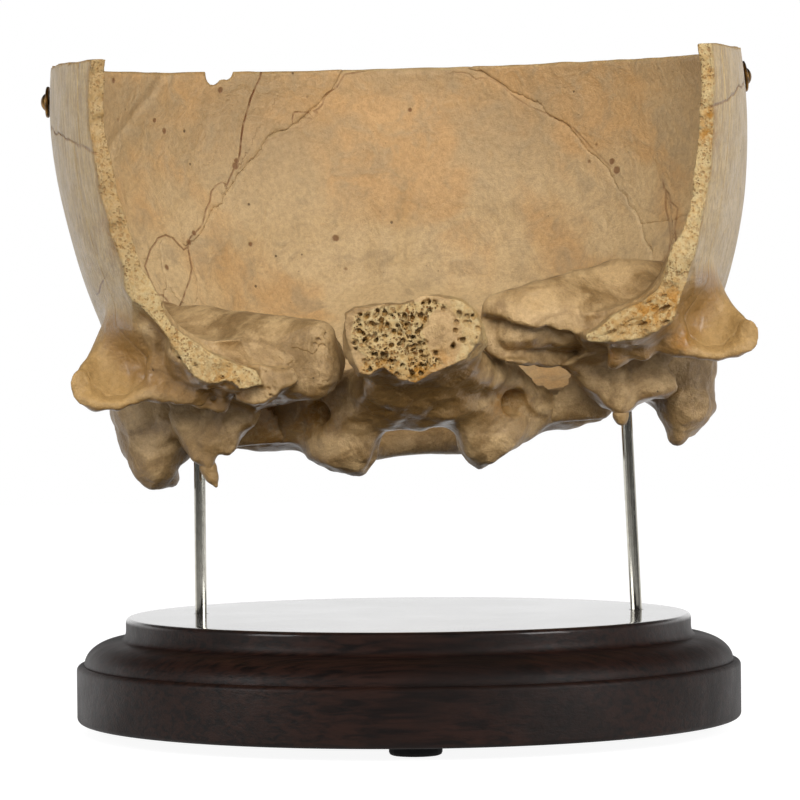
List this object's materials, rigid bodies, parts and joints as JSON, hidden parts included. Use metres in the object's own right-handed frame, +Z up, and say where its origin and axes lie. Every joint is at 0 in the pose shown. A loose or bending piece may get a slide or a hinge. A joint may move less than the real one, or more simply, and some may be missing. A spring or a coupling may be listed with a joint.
{
  "type": "partial human skull on stand",
  "caption": "Rear section of a human skull, sawn level at the top and cut across in front of the ears, lifted on thin rods above a round moulded wooden base.",
  "frame": {"origin": "centre of the wooden base's flat underside, 2.6 mm above the surface that the pads stand on", "axes": "+Z up, -Y towards the cut front of the skull, +X towards the skull's own left side"},
  "size_m": [0.1488, 0.1616, 0.1405],
  "materials": {
    "stained_wood": "satin",
    "steel": "satin",
    "black_rubber": "matte",
    "bone": "satin",
    "styloid_bone": "satin",
    "aged_brass": "satin"
  },
  "bodies": {
    "stand": {"wooden_base": "stained_wood", "support_rod_right": "steel", "support_rod_left": "steel", "foot_pad_front": "black_rubber", "foot_pad_left": "black_rubber", "foot_pad_back": "black_rubber", "foot_pad_right": "black_rubber"},
    "skull": {"occipital_bone": "bone", "parietal_bone_right": "bone", "parietal_bone_left": "bone", "temporal_bone_right": "bone", "temporal_bone_left": "bone", "sutural_bone": "bone", "styloid_process_right": "styloid_bone", "styloid_process_left": "styloid_bone", "hook_screw_right": "aged_brass", "hook_screw_left": "aged_brass", "hook_washer_right": "aged_brass", "hook_washer_left": "aged_brass"}
  },
  "joints": [
    {"name": "skull_lift", "type": "slide", "parent": "stand", "child": "skull", "axis": [0, 0, 1], "range_m": [0, 0.06]}
  ]
}
